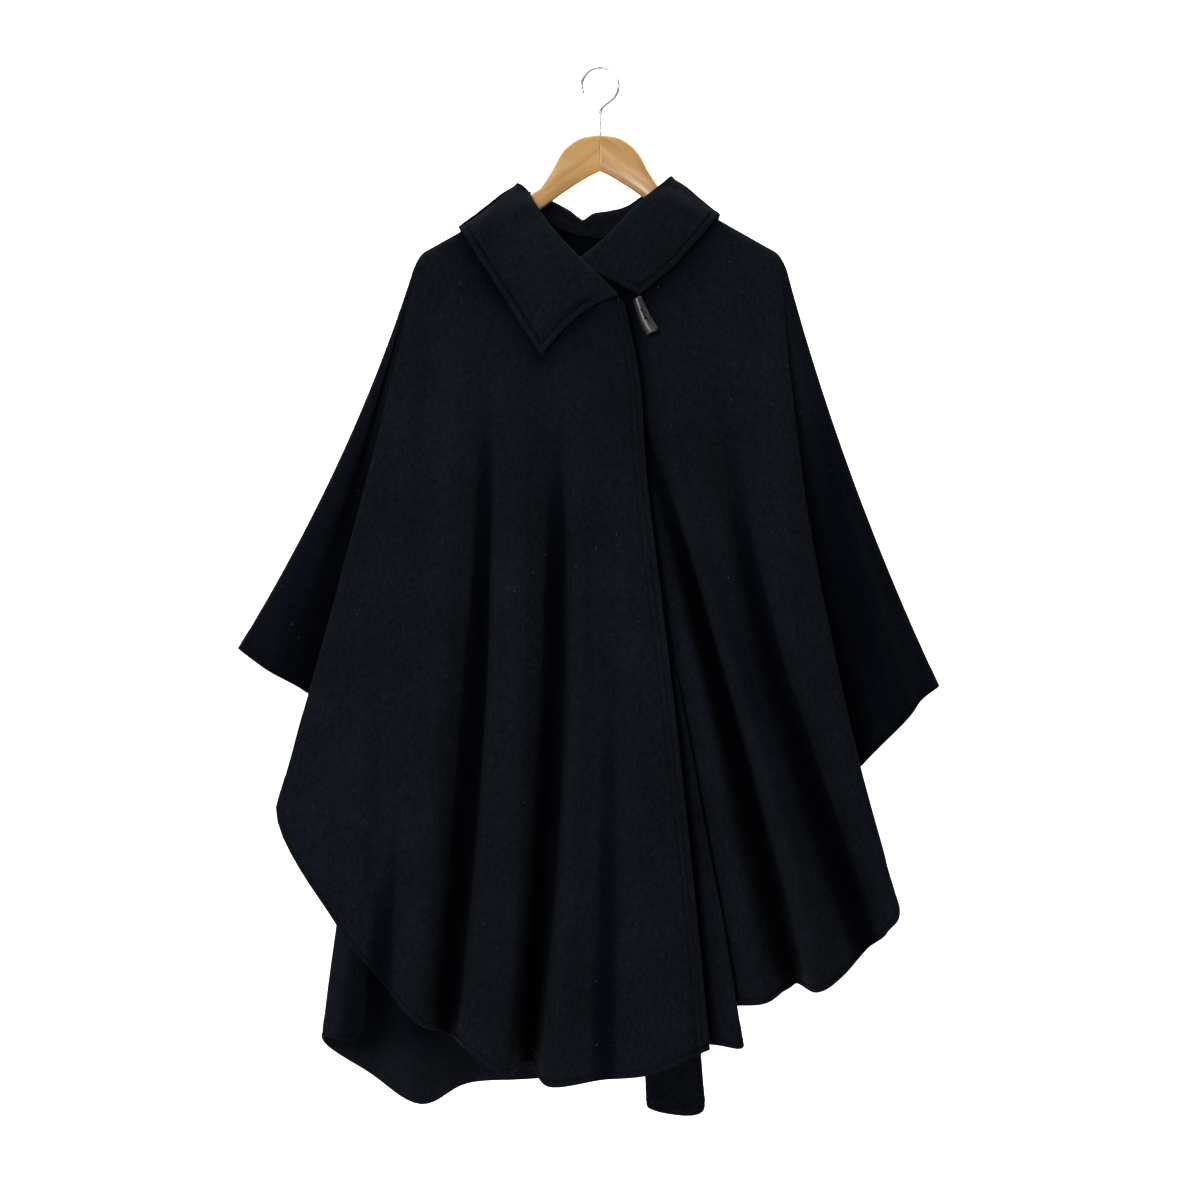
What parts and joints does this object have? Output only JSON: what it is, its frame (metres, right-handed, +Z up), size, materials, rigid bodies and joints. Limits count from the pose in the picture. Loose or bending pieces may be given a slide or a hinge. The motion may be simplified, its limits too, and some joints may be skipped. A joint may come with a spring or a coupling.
{
  "type": "wool cloak on a wooden clothes hanger",
  "caption": "Black wool cloak with wide flat sleeves, a large turned-down collar and a horn toggle, hung by its wooden hanger's wire hook.",
  "frame": {"origin": "the inner top of the hanger's hook, where a rod or wall hook carries it", "axes": "+Z up, front of the cloak towards -Y, +X towards the wearer's left side (the viewer's right)"},
  "size_m": [0.8038, 0.2635, 1.225],
  "materials": {
    "wool": "felted wool, soft and matt",
    "horn": "polished dark horn",
    "wood": "satin varnish",
    "steel": "polished"
  },
  "bodies": {
    "root": {"back": "wool", "front_right": "wool", "front_left": "wool", "collar": "wool", "toggle": "horn", "hanger_right": "wood", "hanger_left": "wood", "hanger_hook": "steel"}
  },
  "joints": []
}
